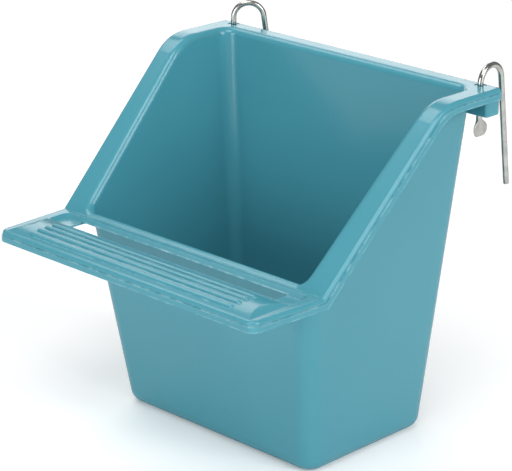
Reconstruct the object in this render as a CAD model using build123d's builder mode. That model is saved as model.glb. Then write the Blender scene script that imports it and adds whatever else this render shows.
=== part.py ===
from build123d import *
import math
import os

os.makedirs("parts", exist_ok=True)

# Frame: millimetres, +Z up, front of the trough towards -Y.
# The origin is the middle of the flat base face, on the floor.

# Tub (tapered box with draft on every wall)
base_half = 39.0
base_front = -25.5
base_rear = 25.4
loft_top = 118.0
side_draft = 0.103
front_draft = 0.156
rear_draft = 0.041
wall = 1.8
floor_thick = 2.0
corner_low = 6.0
corner_high = 4.6
cavity_low = 2.9
cavity_front_high = 0.4
cavity_rear_high = 4.4
base_round = 4.5

# Side run of the rim: level perch, slope, level rear run
deck_z = 62.0
rear_z = 107.5
kink_y = -37.0
bend_y = 8.9
bend_round = 15.5
front_edge = -63.5
rear_edge = 34.9
plate_thick = 1.9
skirt_depth = 3.3
skirt_wall = 1.7
step_in = 0.3
step_level = 1.5
shoulder_round = 1.0
mouth_round = 2.2

# Plan of the rim (half widths at the front edge and behind the bend)
plan_front_half = 52.1
plan_rear_half = 55.8
plan_front_round = 2.8
plan_rear_round = 1.4

# Slot between the perch and the trough mouth
slot_half = 42.0
slot_front = -45.8
slot_rear = -39.9
slot_round = 1.4
slot_relief = 2.2
slot_lip = 1.1
dish_reach = 7.3
dish_middle = -42.6
dish_length = 8.6
dish_depth = 1.3

# Crowned perch and its ribs
crown_rise = 1.1
crown_radius = 28.0
crown_middle = -54.4
crown_half = 49.6
crown_slope = 3.2
rib_count = 4
rib_first = -51.3
rib_pitch = 2.84
rib_half = 41.5
rib_radius = 1.05
rib_rise = 0.65

# Ears and hooks
pin_x = 49.4
pin_y = 32.0
ear_in = 45.4
ear_out = 54.8
ear_front = 28.6
ear_bottom = 99.4
wire = 1.8
bore = 1.96
seat_radius = 1.8
seat_depth = 0.2
arch_radius = 4.75
arch_base = 107.85
leg_reach = 33.9
splay = 8.1
paddle_top = 97.6
# depth below paddle_top, width, thickness and sideways shift of the flattened end
paddle_rows = [
    (0, 1.8, 1.8, 0),
    (0.9, 3.3, 1.3, 0.35),
    (1.9, 5.2, 0.95, 0.65),
    (3.2, 6.2, 0.8, 0.8),
    (4.5, 5.6, 0.72, 0.8),
    (5.4, 3.8, 0.66, 0.8),
]
left_turn = 45.0
left_lift = 1.7

slope = math.atan2(rear_z - deck_z, bend_y - kink_y)
mitre = math.tan(slope / 2)
run_front = front_edge - 5
run_rear = rear_edge + 5


def run(depth, front, rear):
    """Side points of the rim run, moved down square to itself by depth."""
    return [
        (front, deck_z - depth),
        (kink_y + depth * mitre, deck_z - depth),
        (bend_y + depth * mitre, rear_z - depth),
        (rear, rear_z - depth),
    ]


def plan(inset):
    """Plan corners of the rim, moved inwards by inset."""
    front_half = plan_front_half - inset
    rear_half = plan_rear_half - inset
    return [
        (-front_half, front_edge + inset),
        (front_half, front_edge + inset),
        (rear_half, bend_y),
        (rear_half, rear_edge - inset),
        (-rear_half, rear_edge - inset),
        (-rear_half, bend_y),
    ]


def tub_half(z, inset):
    return base_half + side_draft * z - inset


def tub_front(z, inset):
    return base_front - front_draft * z + inset


def tub_rear(z, inset):
    return base_rear + rear_draft * z - inset


def top_height(y):
    """Height of the rim run at y, with the rounded bend left sharp."""
    if y < kink_y:
        return deck_z
    return min(deck_z + (y - kink_y) * math.tan(slope), rear_z)


def on_outline(edge):
    """True for a top edge on the outer border of the rim, not across it."""
    middle = edge.center()
    top = abs(middle.Z - top_height(middle.Y)) < 0.3
    across = abs(middle.X) < 1 and front_edge + 2 < middle.Y < rear_edge - 2
    return top and not across


def on_mouth(edge):
    """True for an edge where the inside of the tub meets the top surface."""
    middle = edge @ 0.5
    level = abs(middle.Z - top_height(middle.Y)) < 3 and middle.Z > deck_z + 1
    side = abs(abs(middle.X) - tub_half(middle.Z, wall)) < 2.2
    front = abs(middle.Y - tub_front(middle.Z, wall)) < 1
    rear = abs(middle.Y - tub_rear(middle.Z, wall)) < 1
    inside = abs(middle.X) < tub_half(middle.Z, wall) + 0.1
    ahead = middle.Y < tub_rear(middle.Z, wall) + 0.1
    flat = abs((edge % 0.5).Z) < 0.99
    return level and inside and ahead and flat and (side or front or rear)


# Everything below the top surface of the rim
with BuildPart() as under_top:
    with BuildSketch(Plane.YZ) as under_side:
        with BuildLine():
            Polyline(*run(0, run_front, run_rear), (run_rear, -5), (run_front, -5), close=True)
        make_face()
        fillet(under_side.vertices().sort_by_distance((bend_y, rear_z))[0], bend_round)
    extrude(amount=70, both=True)

# Top plate of the rim, with its rounded shoulder
with BuildPart() as plate:
    with BuildSketch(Plane.YZ) as plate_side:
        with BuildLine():
            upper_line = run(0, run_front, run_rear)
            lower_line = run(plate_thick, run_front, run_rear)
            Polyline(*upper_line, *reversed(lower_line), close=True)
        make_face()
        fillet(plate_side.vertices().sort_by_distance((bend_y, rear_z))[0], bend_round)
        fillet(plate_side.vertices().sort_by_distance(lower_line[2])[0], bend_round - plate_thick)
    extrude(amount=70, both=True)
    with BuildSketch(Plane.XY) as plate_plan:
        Polygon(*plan(step_in), align=None)
        fillet(plate_plan.vertices().group_by(Axis.Y)[0], plan_front_round)
        fillet(plate_plan.vertices().group_by(Axis.Y)[-1], plan_rear_round)
    extrude(amount=130, mode=Mode.INTERSECT)
    fillet(plate.edges().filter_by(on_outline), shoulder_round)

# Skirt that hangs from the outer edge of the plate
with BuildPart() as skirt:
    with BuildSketch(Plane.YZ) as skirt_side:
        with BuildLine():
            upper_line = run(step_level, run_front, run_rear)
            lower_line = run(skirt_depth, run_front, run_rear)
            Polyline(*upper_line, *reversed(lower_line), close=True)
        make_face()
        fillet(skirt_side.vertices().sort_by_distance(upper_line[2])[0], bend_round - step_level)
        fillet(skirt_side.vertices().sort_by_distance(lower_line[2])[0], bend_round - skirt_depth)
    extrude(amount=70, both=True)
    with BuildSketch(Plane.XY) as skirt_plan:
        Polygon(*plan(0), align=None)
        fillet(skirt_plan.vertices().group_by(Axis.Y)[0], plan_front_round + step_in)
        fillet(skirt_plan.vertices().group_by(Axis.Y)[-1], plan_rear_round + step_in)
    extrude(amount=130, mode=Mode.INTERSECT)
    with BuildSketch(Plane.XY) as skirt_hollow:
        Polygon(*plan(skirt_wall), align=None)
        fillet(skirt_hollow.vertices().group_by(Axis.Y)[0], plan_front_round - 1.2)
        fillet(skirt_hollow.vertices().group_by(Axis.Y)[-1], 0.5)
    extrude(amount=130, mode=Mode.SUBTRACT)

# Outer shape of the tub, trimmed to the run of the rim
with BuildPart() as tub:
    for z, radius in ((0, corner_low), (loft_top, corner_high)):
        with BuildSketch(Plane.XY.offset(z)):
            with Locations((0, (tub_front(z, 0) + tub_rear(z, 0)) / 2)):
                RectangleRounded(2 * tub_half(z, 0), tub_rear(z, 0) - tub_front(z, 0), radius)
    loft(ruled=True)
    fillet(tub.edges().group_by(Axis.Z)[0], base_round)
    add(under_top.part, mode=Mode.INTERSECT)

# Space inside the tub
with BuildPart() as cavity:
    levels = ((floor_thick, cavity_low, cavity_low), (loft_top + 4, cavity_front_high, cavity_rear_high))
    for z, front_radius, rear_radius in levels:
        with BuildSketch(Plane.XY.offset(z)) as cavity_plan:
            with Locations((0, (tub_front(z, wall) + tub_rear(z, wall)) / 2)):
                Rectangle(2 * tub_half(z, wall), tub_rear(z, wall) - tub_front(z, wall))
            fillet(cavity_plan.vertices().group_by(Axis.Y)[0], front_radius)
            fillet(cavity_plan.vertices().group_by(Axis.Y)[-1], rear_radius)
    loft(ruled=True)
    fillet(cavity.edges().group_by(Axis.Z)[0], base_round - wall)

# Ears under the rear corners of the rim
with BuildPart() as ears:
    with BuildSketch(Plane.XY.offset(ear_bottom)):
        with Locations((-(ear_in + ear_out) / 2, (ear_front + rear_edge - 0.2) / 2)):
            RectangleRounded(ear_out - ear_in, rear_edge - 0.2 - ear_front, 1.1)
        with Locations(((ear_in + ear_out) / 2, (ear_front + rear_edge - 0.2) / 2)):
            RectangleRounded(ear_out - ear_in, rear_edge - 0.2 - ear_front, 1.1)
    extrude(amount=rear_z - ear_bottom - 0.5)
    fillet(ears.edges().group_by(Axis.Z)[0], 0.5)

# Slot between perch and mouth, thinned from below along its rear edge
with BuildPart() as slot:
    with BuildSketch(Plane.XY.offset(deck_z - skirt_depth - 4)):
        with Locations((0, (slot_front + slot_rear) / 2)):
            RectangleRounded(2 * slot_half, slot_rear - slot_front, slot_round)
    extrude(amount=skirt_depth + 10)
    with BuildSketch(Plane.XY.offset(deck_z - skirt_depth)):
        with Locations((0, (slot_front + slot_rear + slot_relief) / 2)):
            RectangleRounded(2 * slot_half, slot_rear + slot_relief - slot_front, slot_round)
    extrude(amount=skirt_depth - slot_lip)

# Low crown of the perch, rounded from front to back and sloped at both ends
with BuildPart() as crown:
    with Locations((0, crown_middle, deck_z + crown_rise - crown_radius)):
        Cylinder(crown_radius, 2 * crown_half, rotation=(0, 90, 0))
    with BuildSketch(Plane.XZ) as crown_side:
        with BuildLine():
            Polyline(
                (-crown_half, deck_z - 0.2),
                (-crown_half, deck_z),
                (crown_slope - crown_half, deck_z + crown_rise),
                (crown_half - crown_slope, deck_z + crown_rise),
                (crown_half, deck_z),
                (crown_half, deck_z - 0.2),
                close=True,
            )
        make_face()
        fillet(crown_side.vertices().group_by(Axis.Y)[-1], 4)
    extrude(amount=-front_edge * 2, both=True, mode=Mode.INTERSECT)

# Shallow dishes in the arms, at both ends of the slot
with BuildPart() as dishes:
    with BuildSketch(Plane.XY.offset(deck_z + 0.01)):
        with Locations((0, dish_middle)):
            RectangleRounded(2 * (slot_half + dish_reach), dish_length, 2.2)
    extrude(amount=-dish_depth, taper=50)

# Round-ended ribs of the perch, long across the trough
with BuildPart() as ribs:
    for i in range(rib_count):
        y = rib_first - i * rib_pitch
        z = deck_z + crown_rise - (y - crown_middle) ** 2 / (2 * crown_radius) + rib_rise - rib_radius
        with Locations((0, y, z)):
            Cylinder(rib_radius, 2 * (rib_half - rib_radius), rotation=(0, 90, 0))
        for end in (-1, 1):
            with Locations((end * (rib_half - rib_radius), y, z)):
                Sphere(rib_radius)

with BuildPart() as trough:
    add(plate.part)
    add(skirt.part)
    add(tub.part)
    add(ears.part)
    add(cavity.part, mode=Mode.SUBTRACT)
    fillet(trough.edges().filter_by(on_mouth), mouth_round)
    add(crown.part)
    add(dishes.part, mode=Mode.SUBTRACT)
    add(ribs.part)
    add(slot.part, mode=Mode.SUBTRACT)
    with Locations((-pin_x, pin_y, rear_z), (pin_x, pin_y, rear_z)):
        Hole(radius=bore / 2, depth=rear_z - ear_bottom + 1)
    with Locations((-pin_x, pin_y, rear_z - seat_depth), (pin_x, pin_y, rear_z - seat_depth)):
        Cylinder(seat_radius, 5, align=(Align.CENTER, Align.CENTER, Align.MIN), mode=Mode.SUBTRACT)
trough.part.label = "trough"
export_step(trough.part, "parts/trough.step")

# Bent wire of one hook, on an axis through the origin, free leg towards +Y
lean = math.radians(splay)
arch_middle = Vector(0, arch_radius, arch_base)
with BuildPart() as hook_wire:
    with BuildLine():
        stem = Line((0, 0, paddle_top), (0, 0, arch_base))
        arch = ThreePointArc(
            stem @ 1,
            arch_middle + Vector(0, 0, arch_radius),
            arch_middle + Vector(0, math.cos(lean), math.sin(lean)) * arch_radius,
        )
        leg = Line(arch @ 1, (arch @ 1) + Vector(0, math.sin(lean), -math.cos(lean)) * leg_reach)
    with BuildSketch(Plane.XY.offset(paddle_top)):
        Circle(wire / 2)
    sweep()
    for height, width, thick, shift in paddle_rows:
        with BuildSketch(Plane.XY.offset(paddle_top - height)):
            with Locations((0, shift)):
                Ellipse(thick / 2, width / 2)
    loft()
    fillet(hook_wire.edges().group_by(Axis.Z)[0], 0.18)

with BuildPart() as hook_right:
    add(hook_wire.part.moved(Location((pin_x, pin_y, 0))))
hook_right.part.label = "hook_right"
export_step(hook_right.part, "parts/hook_right.step")

with BuildPart() as hook_left:
    add(hook_wire.part.moved(Location((-pin_x, pin_y, left_lift), (0, 0, -left_turn))))
hook_left.part.label = "hook_left"
export_step(hook_left.part, "parts/hook_left.step")
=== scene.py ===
# %% [markdown]
# # A hanging feed trough, step by step
#
# The real object is one glossy injection moulding, a tapered tub with a
# sloped rim and a ribbed perch, and two hooks bent from plated wire that
# turn in its rear corners. The engineering model already holds the
# sizes, so this lesson loads it as the frame and gives it its looks:
# finer hooks, a moulded plastic finish, light, floor and camera.

# %% Load the frame
import math

import bmesh
import bpy
from mathutils import Matrix, Vector


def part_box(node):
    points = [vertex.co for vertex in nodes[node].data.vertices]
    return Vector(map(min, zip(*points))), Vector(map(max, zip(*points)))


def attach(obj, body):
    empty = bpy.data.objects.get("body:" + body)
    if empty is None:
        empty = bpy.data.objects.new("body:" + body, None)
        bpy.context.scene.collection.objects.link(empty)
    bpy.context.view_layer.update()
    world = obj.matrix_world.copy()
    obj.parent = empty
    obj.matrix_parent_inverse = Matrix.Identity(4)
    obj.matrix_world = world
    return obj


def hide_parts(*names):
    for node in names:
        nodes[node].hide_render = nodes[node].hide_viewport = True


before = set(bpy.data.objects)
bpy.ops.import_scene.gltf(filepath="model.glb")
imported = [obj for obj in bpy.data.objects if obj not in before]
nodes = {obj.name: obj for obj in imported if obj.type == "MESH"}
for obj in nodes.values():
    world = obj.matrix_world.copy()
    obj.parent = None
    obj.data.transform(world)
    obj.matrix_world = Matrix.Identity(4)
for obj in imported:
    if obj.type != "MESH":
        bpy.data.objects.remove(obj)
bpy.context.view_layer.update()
for name in nodes:
    low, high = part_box(name)
    print(name, "from", [round(v, 4) for v in low], "to", [round(v, 4) for v in high])

# %% [markdown]
# ## Small helpers
#
# Every finish below is a node graph. Writing one in full is long, so two
# helpers keep it readable: one adds a node and sets its values, the other
# joins two sockets.

# %% Helpers for node graphs


def add_node(tree, kind, place, **values):
    """Adds a shader node and sets its properties and input values."""
    node = tree.nodes.new(kind)
    node.location = place
    for key, value in values.items():
        if hasattr(node, key):
            setattr(node, key, value)
        else:
            node.inputs[key.replace("_", " ")].default_value = value
    return node


def new_group(name, inputs, outputs):
    """Makes a shader node group with float inputs and named outputs."""
    tree = bpy.data.node_groups.new(name, "ShaderNodeTree")
    for label, value in inputs:
        socket = tree.interface.new_socket(label, in_out="INPUT", socket_type="NodeSocketFloat")
        socket.default_value = value
    for label, kind in outputs:
        tree.interface.new_socket(label, in_out="OUTPUT", socket_type=kind)
    start = tree.nodes.new("NodeGroupInput")
    start.location = (-900, 0)
    end = tree.nodes.new("NodeGroupOutput")
    end.location = (900, 0)
    return tree, start, end


print("helpers ready")

# %% [markdown]
# ## Fine surface grain
#
# No moulded or drawn surface is perfectly even. Plastic has a faint
# ripple left by the polished mould, wire has lines left by the drawing
# die. Both are noise at different sizes and stretch, so one group makes
# them: it puts out a height for a Bump node and a mask for the roughness.

# %% Build the grain group
MASK_FROM = 0.35
MASK_TO = 0.65

grain, g_in, g_out = new_group(
    "surface_grain",
    [("Size", 900.0), ("Stretch X", 1.0), ("Stretch Y", 1.0), ("Stretch Z", 1.0), ("Detail", 3.0)],
    [("Height", "NodeSocketFloat"), ("Mask", "NodeSocketFloat")],
)
g_coord = add_node(grain, "ShaderNodeTexCoord", (-900, 300))
g_stretch = add_node(grain, "ShaderNodeCombineXYZ", (-700, 100))
g_scale = add_node(grain, "ShaderNodeVectorMath", (-500, 300), operation="MULTIPLY")
g_noise = add_node(grain, "ShaderNodeTexNoise", (-250, 300), Roughness=0.55)
g_range = add_node(grain, "ShaderNodeMapRange", (50, 100))
g_range.inputs["From Min"].default_value = MASK_FROM
g_range.inputs["From Max"].default_value = MASK_TO
for axis in "XYZ":
    grain.links.new(g_in.outputs["Stretch " + axis], g_stretch.inputs[axis])
grain.links.new(g_coord.outputs["Object"], g_scale.inputs[0])
grain.links.new(g_stretch.outputs[0], g_scale.inputs[1])
grain.links.new(g_scale.outputs[0], g_noise.inputs["Vector"])
grain.links.new(g_in.outputs["Size"], g_noise.inputs["Scale"])
grain.links.new(g_in.outputs["Detail"], g_noise.inputs["Detail"])
grain.links.new(g_noise.outputs["Fac"], g_range.inputs["Value"])
grain.links.new(g_noise.outputs["Fac"], g_out.inputs["Height"])
grain.links.new(g_range.outputs["Result"], g_out.inputs["Mask"])
print("grain group has", len(grain.nodes), "nodes")

# %% [markdown]
# ## Worn edges and painted edge highlights
#
# Handling and cage bars rub the outer edges first: plated wire shows
# the grey steel there, and plastic turns a little duller. On the plastic
# the edges are also painted paler, partly as rubbed wear and partly as a
# painted highlight that stands in for the thin bright lines lamps draw
# along glossy edges. A Bevel node rounds the normal near an edge, so
# where it differs from the true normal there is an edge. Noise breaks
# the line up. The dot product of the two normals is 1 on a flat face and
# falls towards an edge, so the mask starts just below 1 and is full a
# little lower.

# %% Build the edge wear and painted highlight group
EDGE_RADIUS = 0.0007
EDGE_STARTS = 0.995
EDGE_FULL = 0.86
BREAK_FROM = 0.4
BREAK_TO = 0.68

wear_and_highlight, w_in, w_out = new_group(
    "edge_wear_and_painted_highlight",
    [("Amount", 1.0), ("Breakup", 300.0)],
    [("Mask", "NodeSocketFloat")],
)
w_bevel = add_node(wear_and_highlight, "ShaderNodeBevel", (-700, 200), samples=6, Radius=EDGE_RADIUS)
w_geo = add_node(wear_and_highlight, "ShaderNodeNewGeometry", (-700, -50))
w_dot = add_node(wear_and_highlight, "ShaderNodeVectorMath", (-450, 150), operation="DOT_PRODUCT")
w_edge = add_node(wear_and_highlight, "ShaderNodeMapRange", (-250, 150))
w_edge.inputs["From Min"].default_value = EDGE_STARTS
w_edge.inputs["From Max"].default_value = EDGE_FULL
w_coord = add_node(wear_and_highlight, "ShaderNodeTexCoord", (-700, -250))
w_noise = add_node(wear_and_highlight, "ShaderNodeTexNoise", (-450, -200), Detail=4.0, Roughness=0.6)
w_break = add_node(wear_and_highlight, "ShaderNodeMapRange", (-250, -200))
w_break.inputs["From Min"].default_value = BREAK_FROM
w_break.inputs["From Max"].default_value = BREAK_TO
w_both = add_node(wear_and_highlight, "ShaderNodeMath", (0, 0), operation="MULTIPLY")
w_amount = add_node(wear_and_highlight, "ShaderNodeMath", (200, 0), operation="MULTIPLY")
wear_and_highlight.links.new(w_bevel.outputs[0], w_dot.inputs[0])
wear_and_highlight.links.new(w_geo.outputs["Normal"], w_dot.inputs[1])
wear_and_highlight.links.new(w_dot.outputs["Value"], w_edge.inputs["Value"])
wear_and_highlight.links.new(w_coord.outputs["Object"], w_noise.inputs["Vector"])
wear_and_highlight.links.new(w_in.outputs["Breakup"], w_noise.inputs["Scale"])
wear_and_highlight.links.new(w_noise.outputs["Fac"], w_break.inputs["Value"])
wear_and_highlight.links.new(w_edge.outputs["Result"], w_both.inputs[0])
wear_and_highlight.links.new(w_break.outputs["Result"], w_both.inputs[1])
wear_and_highlight.links.new(w_both.outputs[0], w_amount.inputs[0])
wear_and_highlight.links.new(w_in.outputs["Amount"], w_amount.inputs[1])
wear_and_highlight.links.new(w_amount.outputs[0], w_out.inputs["Mask"])
print("edge wear group has", len(wear_and_highlight.nodes), "nodes")

# %% [markdown]
# ## Teal moulded plastic
#
# The tub is coloured right through, polished where the mould was
# polished. Its colour drifts very slightly where the melt flowed, and
# the gloss is broken by a faint ripple and fine dust-dull patches. All
# of it is kept low: the part should still read as clean and new.

# %% Make the plastic
TEAL = (0.078, 0.338, 0.420, 1.0)
TEAL_DEEP = (0.065, 0.303, 0.382, 1.0)
# Paler teal on the edges: partly rubbed wear, partly a painted highlight for the bright lines lamps
# draw along glossy edges.
TEAL_WORN_AND_HIGHLIT_EDGE = (0.40, 0.66, 0.73, 1.0)
PLASTIC_IOR = 1.49
PLASTIC_EDGE_WEAR_AND_HIGHLIGHT = 0.75
GLOSS_BEST = 0.16
GLOSS_DULL = 0.21
RUB_DULLS = 0.25

plastic = bpy.data.materials.new("gloss_teal_plastic")
plastic.use_nodes = True
tree = plastic.node_tree
shader = tree.nodes["Principled BSDF"]
shader.inputs["IOR"].default_value = PLASTIC_IOR
coord = add_node(tree, "ShaderNodeTexCoord", (-1200, 300))
flow = add_node(tree, "ShaderNodeTexNoise", (-1000, 300), Scale=14.0, Detail=2.0, Roughness=0.5)
flow.inputs["Distortion"].default_value = 1.2
drift = add_node(tree, "ShaderNodeMix", (-750, 300), data_type="RGBA")
drift.inputs[6].default_value = TEAL_DEEP
drift.inputs[7].default_value = TEAL
# Mixes in the paler edge teal: rubbed wear and a painted edge highlight.
worn_and_highlit_edge = add_node(tree, "ShaderNodeMix", (-450, 300), data_type="RGBA")
worn_and_highlit_edge.inputs[7].default_value = TEAL_WORN_AND_HIGHLIT_EDGE
edges = add_node(tree, "ShaderNodeGroup", (-1000, 0), node_tree=wear_and_highlight)
edges.inputs["Amount"].default_value = PLASTIC_EDGE_WEAR_AND_HIGHLIGHT
edges.inputs["Breakup"].default_value = 260.0
ripple = add_node(tree, "ShaderNodeGroup", (-1000, -250), node_tree=grain)
ripple.inputs["Size"].default_value = 420.0
ripple.inputs["Detail"].default_value = 2.0
dull = add_node(tree, "ShaderNodeGroup", (-1000, -500), node_tree=grain)
dull.inputs["Size"].default_value = 60.0
dull.inputs["Detail"].default_value = 6.0
gloss = add_node(tree, "ShaderNodeMapRange", (-700, -400))
gloss.inputs["To Min"].default_value = GLOSS_BEST
gloss.inputs["To Max"].default_value = GLOSS_DULL
rough = add_node(tree, "ShaderNodeMath", (-450, -300), operation="MULTIPLY_ADD")
rough.inputs[1].default_value = RUB_DULLS
bump = add_node(tree, "ShaderNodeBump", (-450, -600), Strength=0.05, Distance=0.0003)
tree.links.new(coord.outputs["Object"], flow.inputs["Vector"])
tree.links.new(flow.outputs["Fac"], drift.inputs["Factor"])
tree.links.new(drift.outputs[2], worn_and_highlit_edge.inputs[6])
tree.links.new(edges.outputs["Mask"], worn_and_highlit_edge.inputs["Factor"])
tree.links.new(worn_and_highlit_edge.outputs[2], shader.inputs["Base Color"])
tree.links.new(dull.outputs["Mask"], gloss.inputs["Value"])
tree.links.new(edges.outputs["Mask"], rough.inputs[0])
tree.links.new(gloss.outputs["Result"], rough.inputs[2])
tree.links.new(rough.outputs[0], shader.inputs["Roughness"])
tree.links.new(ripple.outputs["Height"], bump.inputs["Height"])
tree.links.new(bump.outputs["Normal"], shader.inputs["Normal"])
print("plastic roughness from", GLOSS_BEST, "to", GLOSS_DULL)

# %% [markdown]
# ## Plated wire
#
# Hook wire is drawn through a die, bent, then plated bright. The die
# leaves fine lines that run along the wire and follow every bend, so
# the finish reads a map stored on the hook's own mesh: two numbers
# around the wire and one along it. Stretching noise along the third
# gives the lines, and a coarser noise lets the plating pool and dull.

# %% Make the wire finish
PLATING = (0.62, 0.62, 0.585, 1.0)
PLATING_DULL = (0.43, 0.435, 0.415, 1.0)
BARE_STEEL = (0.24, 0.235, 0.22, 1.0)
WIRE_RUB = 0.7
LINE_STRETCH = 0.05
POLISH_BEST = 0.10
POLISH_DULL = 0.26

steel = bpy.data.materials.new("bright_plated_wire")
steel.use_nodes = True
tree = steel.node_tree
shader = tree.nodes["Principled BSDF"]
shader.inputs["Metallic"].default_value = 1.0
wire_map = add_node(tree, "ShaderNodeAttribute", (-1400, -100), attribute_name="wire_map")
draw = add_node(tree, "ShaderNodeVectorMath", (-1200, -100), operation="MULTIPLY")
draw.inputs[1].default_value = (1.0, 1.0, LINE_STRETCH)
lines = add_node(tree, "ShaderNodeTexNoise", (-1000, -100), Scale=9.0, Detail=4.0, Roughness=0.6)
pools = add_node(tree, "ShaderNodeGroup", (-1000, -400), node_tree=grain)
pools.inputs["Size"].default_value = 330.0
edges = add_node(tree, "ShaderNodeGroup", (-1000, 300), node_tree=wear_and_highlight)
edges.inputs["Amount"].default_value = WIRE_RUB
tint = add_node(tree, "ShaderNodeMix", (-700, 200), data_type="RGBA")
tint.inputs[6].default_value = PLATING
tint.inputs[7].default_value = PLATING_DULL
worn = add_node(tree, "ShaderNodeMix", (-450, 300), data_type="RGBA")
worn.inputs[7].default_value = BARE_STEEL
gloss = add_node(tree, "ShaderNodeMapRange", (-700, -100))
gloss.inputs["From Min"].default_value = 0.3
gloss.inputs["From Max"].default_value = 0.7
gloss.inputs["To Min"].default_value = POLISH_BEST
gloss.inputs["To Max"].default_value = POLISH_DULL
bump = add_node(tree, "ShaderNodeBump", (-450, -300), Strength=0.15, Distance=0.00004)
tree.links.new(wire_map.outputs["Vector"], draw.inputs[0])
tree.links.new(draw.outputs[0], lines.inputs["Vector"])
tree.links.new(pools.outputs["Mask"], tint.inputs["Factor"])
tree.links.new(tint.outputs[2], worn.inputs[6])
tree.links.new(edges.outputs["Mask"], worn.inputs["Factor"])
tree.links.new(worn.outputs[2], shader.inputs["Base Color"])
tree.links.new(lines.outputs["Fac"], gloss.inputs["Value"])
tree.links.new(gloss.outputs["Result"], shader.inputs["Roughness"])
tree.links.new(lines.outputs["Fac"], bump.inputs["Height"])
tree.links.new(bump.outputs["Normal"], shader.inputs["Normal"])
print("wire roughness from", POLISH_BEST, "to", POLISH_DULL)

# %% [markdown]
# ## The tub
#
# The tub, its rim, perch and ears are one moulding. The engineering mesh
# already has its shape and roundings, so it isn't made again: it
# keeps its own mesh and only changes its finish.

# %% Put the plastic on the frame's own tub
for material_slot in nodes["trough"].material_slots:
    material_slot.material = plastic
print("trough wears", plastic.name)

# %% [markdown]
# ## The bent wire hooks
#
# Each hook is one length of round wire. It is pushed up through the ear,
# bent over a round mandrel and left hanging, and its lower end is
# squeezed flat so it cannot pull out. The engineering hook has the same
# sizes but less detail, so it is made again with a smoother paddle, a
# squeezed neck and cropped ends. One ring of points is grown along the wire: a ring is
# extruded, then moved or turned, and each new ring notes how far along
# the wire it is. That note is the map the finish above reads.

# %% Sizes of the hook, in metres
WIRE_RADIUS = 0.0009
RING_POINTS = 24
PIN_X = 0.0494
PIN_Y = 0.032
ARCH_BASE = 0.10785
ARCH_RADIUS = 0.00475
SPLAY = math.radians(8.1)
LEG_REACH = 0.0339
PADDLE_TOP = 0.0976
# Each row of the paddle: how far below its top, width, thickness, and
# how far its middle lies off the stem.
PADDLE_ROWS = (
    (0.0004, 0.00230, 0.00162, 0.00014),
    (0.0009, 0.00330, 0.00130, 0.00035),
    (0.0014, 0.00430, 0.00110, 0.00052),
    (0.0019, 0.00520, 0.00095, 0.00065),
    (0.0025, 0.00590, 0.00086, 0.00074),
    (0.0032, 0.00620, 0.00080, 0.00080),
    (0.0039, 0.00605, 0.00076, 0.00080),
    (0.0045, 0.00560, 0.00072, 0.00080),
    (0.0050, 0.00480, 0.00069, 0.00080),
    (0.0053, 0.00395, 0.00062, 0.00080),
)
LEFT_TURN = math.radians(-45.0)
LEFT_LIFT = 0.0017
STEM_RINGS = 10
BEND_RINGS = 28
LEG_RINGS = 16
LEG_CHAMFER = 0.00012
PADDLE_CHAMFER = 0.00005
END_SHRINK = 0.10
print("wire", 2000 * WIRE_RADIUS, "mm, legs", 2000 * ARCH_RADIUS, "mm apart")

# %% Grow one hook


def grow_ring(shape, layer, ring, along):
    """Extrudes a ring of edges and notes how far along the wire it is."""
    made = bmesh.ops.extrude_edge_only(shape, edges=ring)["geom"]
    points = [e for e in made if isinstance(e, bmesh.types.BMVert)]
    for point in points:
        point[layer].z = along
    sides = [e for e in made if isinstance(e, bmesh.types.BMEdge)]
    return points, [e for e in sides if all(v in points for v in e.verts)]


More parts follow.
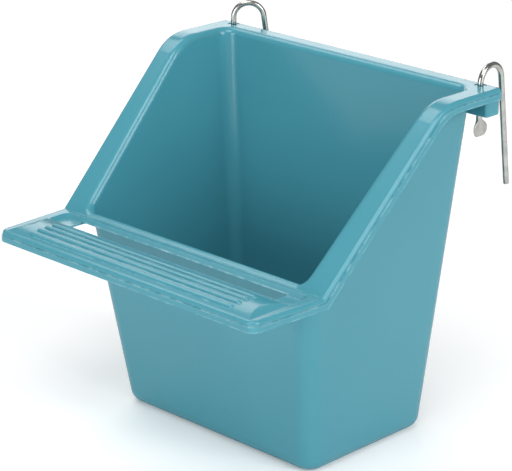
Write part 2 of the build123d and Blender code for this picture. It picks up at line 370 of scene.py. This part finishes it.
def make_hook(name, turn, lift, side):
    """One hook, turned about its own leg, lifted, in the ear on that side."""
    shape = bmesh.new()
    layer = shape.verts.layers.float_vector.new("wire_map")
    start = Matrix.Translation((0.0, 0.0, PADDLE_TOP))
    bmesh.ops.create_circle(shape, segments=RING_POINTS, radius=WIRE_RADIUS, matrix=start)
    for point in shape.verts:
        point[layer] = Vector((point.co.x, point.co.y, 0.0)) / WIRE_RADIUS
    first = list(shape.edges)
    ring = first
    along = 0.0
    step = (ARCH_BASE - PADDLE_TOP) / STEM_RINGS
    for _ in range(STEM_RINGS):
        along += step
        points, ring = grow_ring(shape, layer, ring, along / WIRE_RADIUS)
        bmesh.ops.translate(shape, verts=points, vec=(0.0, 0.0, step))
    middle = Vector((0.0, ARCH_RADIUS, ARCH_BASE))
    angle = (math.pi - SPLAY) / BEND_RINGS
    for _ in range(BEND_RINGS):
        along += ARCH_RADIUS * angle
        points, ring = grow_ring(shape, layer, ring, along / WIRE_RADIUS)
        bmesh.ops.rotate(shape, verts=points, cent=middle, matrix=Matrix.Rotation(-angle, 3, "X"))
    down = Vector((0.0, math.sin(SPLAY), -math.cos(SPLAY)))
    for _ in range(LEG_RINGS):
        along += LEG_REACH / LEG_RINGS
        points, ring = grow_ring(shape, layer, ring, along / WIRE_RADIUS)
        bmesh.ops.translate(shape, verts=points, vec=down * LEG_REACH / LEG_RINGS)
    close_end(shape, layer, ring, along, down, LEG_CHAMFER)
    ring = first
    depth = 0.0
    shift = 0.0
    width, thick = 2 * WIRE_RADIUS, 2 * WIRE_RADIUS
    for row_depth, row_width, row_thick, row_shift in PADDLE_ROWS:
        points, ring = grow_ring(shape, layer, ring, -row_depth / WIRE_RADIUS)
        about = Matrix.Translation((0.0, -shift, 0.0))
        scale = Vector((row_thick / thick, row_width / width, 1.0))
        bmesh.ops.scale(shape, verts=points, vec=scale, space=about)
        bmesh.ops.translate(shape, verts=points, vec=(0.0, row_shift - shift, depth - row_depth))
        depth, width, thick, shift = row_depth, row_width, row_thick, row_shift
    close_end(shape, layer, ring, -depth, Vector((0.0, 0.0, -1.0)), PADDLE_CHAMFER)
    bmesh.ops.recalc_face_normals(shape, faces=shape.faces)
    place = Matrix.Translation((side * PIN_X, PIN_Y, lift)) @ Matrix.Rotation(turn, 4, "Z")
    bmesh.ops.transform(shape, matrix=place, verts=shape.verts)
    mesh = bpy.data.meshes.new(name)
    shape.to_mesh(mesh)
    shape.free()
    mesh.shade_smooth()
    mesh.materials.append(steel)
    hook = bpy.data.objects.new(name, mesh)
    bpy.context.scene.collection.objects.link(hook)
    print(name, len(mesh.polygons), "faces, wire", round(1000 * along, 1), "mm long")
    return hook


def close_end(shape, layer, ring, along, way, chamfer):
    """Closes a cropped end with a small rounded rim and a flat face."""
    for share in (0.5, 1.0):
        points, ring = grow_ring(shape, layer, ring, along / WIRE_RADIUS)
        centre = sum((p.co for p in points), Vector()) / len(points)
        move = way.normalized() * chamfer * share
        shrink = 1.0 - END_SHRINK * share
        bmesh.ops.translate(shape, verts=points, vec=move)
        about = Matrix.Translation(-centre - move)
        bmesh.ops.scale(shape, verts=points, vec=(shrink, shrink, shrink), space=about)
    bmesh.ops.contextual_create(shape, geom=ring)


hook_right = make_hook("bent_hook_right", 0.0, 0.0, 1)
hook_left = make_hook("bent_hook_left", LEFT_TURN, LEFT_LIFT, -1)
for hook, node in ((hook_right, "hook_right"), (hook_left, "hook_left")):
    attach(hook, node)
    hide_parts(node)

# %% [markdown]
# ## Floor
#
# A plain pale floor lets the object stand out and catches a soft shadow.
# It glows a little for the camera alone, so it looks nearly white while
# it throws no extra light on the object.

# %% Floor
FLOOR_REACH = 6.0
FLOOR_GREY = (0.93, 0.93, 0.93, 1.0)
WHITE = (1.0, 1.0, 1.0, 1.0)
FLOOR_ROUGHNESS = 0.9
FLOOR_GLOW = 0.24

floor_mesh = bpy.data.meshes.new("floor")
shape = bmesh.new()
bmesh.ops.create_grid(shape, x_segments=1, y_segments=1, size=FLOOR_REACH)
shape.to_mesh(floor_mesh)
shape.free()
floor = bpy.data.objects.new("floor", floor_mesh)
bpy.context.scene.collection.objects.link(floor)
paper = bpy.data.materials.new("floor_paper")
paper.use_nodes = True
tree = paper.node_tree
shader = tree.nodes["Principled BSDF"]
shader.inputs["Roughness"].default_value = FLOOR_ROUGHNESS
shader.inputs["Base Color"].default_value = FLOOR_GREY
shader.inputs["Emission Color"].default_value = WHITE
seen = add_node(tree, "ShaderNodeLightPath", (-600, 0))
lift = add_node(tree, "ShaderNodeMath", (-350, 0), operation="MULTIPLY")
lift.inputs[1].default_value = FLOOR_GLOW
tree.links.new(seen.outputs["Is Camera Ray"], lift.inputs[0])
tree.links.new(lift.outputs[0], shader.inputs["Emission Strength"])
floor_mesh.materials.append(paper)
print("floor reaches", FLOOR_REACH, "m each way")

# %% [markdown]
# ## Light
#
# Large soft lamps show gloss without hard spots. Six square lamps stand
# around the object, one metre from its middle. The low ones and the one
# at the right light the walls, the high ones light the rim and slopes,
# and the one behind lights the back edges. A weak, even world light
# fills the shade, and the camera sees that world as plain white.

# %% Light
WORLD_FILL = 0.22
WORLD_SEEN = 1.0
MIDDLE = Vector((0.0, -0.01, 0.055))
LAMP_REACH = 1.0
LAMP_SIZE = 0.5


def soft_lamp(name, azimuth, elevation, power):
    """Adds a square area lamp around the object, turned towards its middle."""
    turn = math.radians(azimuth)
    rise = math.radians(elevation)
    way = Vector((math.cos(turn) * math.cos(rise), math.sin(turn) * math.cos(rise), math.sin(rise)))
    light = bpy.data.lights.new(name, "AREA")
    light.size = LAMP_SIZE
    light.energy = power
    lamp = bpy.data.objects.new(name, light)
    lamp.location = MIDDLE + way * LAMP_REACH
    lamp.rotation_euler = (-way).to_track_quat("-Z", "Y").to_euler()
    bpy.context.scene.collection.objects.link(lamp)
    print(name, "at", [round(v, 2) for v in lamp.location])


soft_lamp("lamp_right_low", 0, 8, 1.35)
soft_lamp("lamp_right", 0, 30, 3.9)
soft_lamp("lamp_front_low", 270, 8, 3.4)
soft_lamp("lamp_front_high", 300, 58, 3.7)
soft_lamp("lamp_left_high", 180, 58, 2.5)
soft_lamp("lamp_back", 135, 26, 1.6)

world = bpy.data.worlds.new("studio")
world.use_nodes = True
sky = world.node_tree
seen = add_node(sky, "ShaderNodeLightPath", (-600, 200))
glow = add_node(sky, "ShaderNodeMix", (-350, 100), data_type="FLOAT")
glow.inputs[2].default_value = WORLD_FILL
glow.inputs[3].default_value = WORLD_SEEN
sky.links.new(seen.outputs["Is Camera Ray"], glow.inputs[0])
sky.links.new(glow.outputs[0], sky.nodes["Background"].inputs["Strength"])
sky.nodes["Background"].inputs["Color"].default_value = WHITE
bpy.context.scene.world = world
bpy.context.scene.view_settings.view_transform = "Standard"
print("world light", WORLD_FILL)

# %% [markdown]
# ## Camera
#
# A long lens far away keeps the sides of the tub nearly parallel, as a
# catalogue picture does. The camera is aimed by two angles and a slight
# roll, which are turned into its three axes.

# %% Camera
CAMERA_PLACE = Vector((0.42472, -0.45086, 0.27864))
AZIMUTH = math.radians(43.83)
ELEVATION = math.radians(19.66)
ROLL = math.radians(0.53)
LENS = 155.36
SENSOR_WIDTH = 36.0
CLIP_START = 0.01

back = Vector(
    (
        math.sin(AZIMUTH) * math.cos(ELEVATION),
        -math.cos(AZIMUTH) * math.cos(ELEVATION),
        math.sin(ELEVATION),
    )
)
level = Vector((math.cos(AZIMUTH), math.sin(AZIMUTH), 0.0))
upright = back.cross(level)
right = level * math.cos(ROLL) + upright * math.sin(ROLL)
up = upright * math.cos(ROLL) - level * math.sin(ROLL)
camera_data = bpy.data.cameras.new("camera")
camera_data.lens = LENS
camera_data.sensor_width = SENSOR_WIDTH
camera_data.clip_start = CLIP_START
camera = bpy.data.objects.new("camera", camera_data)
turn = Matrix((right, up, back)).transposed().to_4x4()
camera.matrix_world = Matrix.Translation(CAMERA_PLACE) @ turn
bpy.context.scene.collection.objects.link(camera)
bpy.context.scene.camera = camera
print("camera at", [round(v, 3) for v in camera.location])
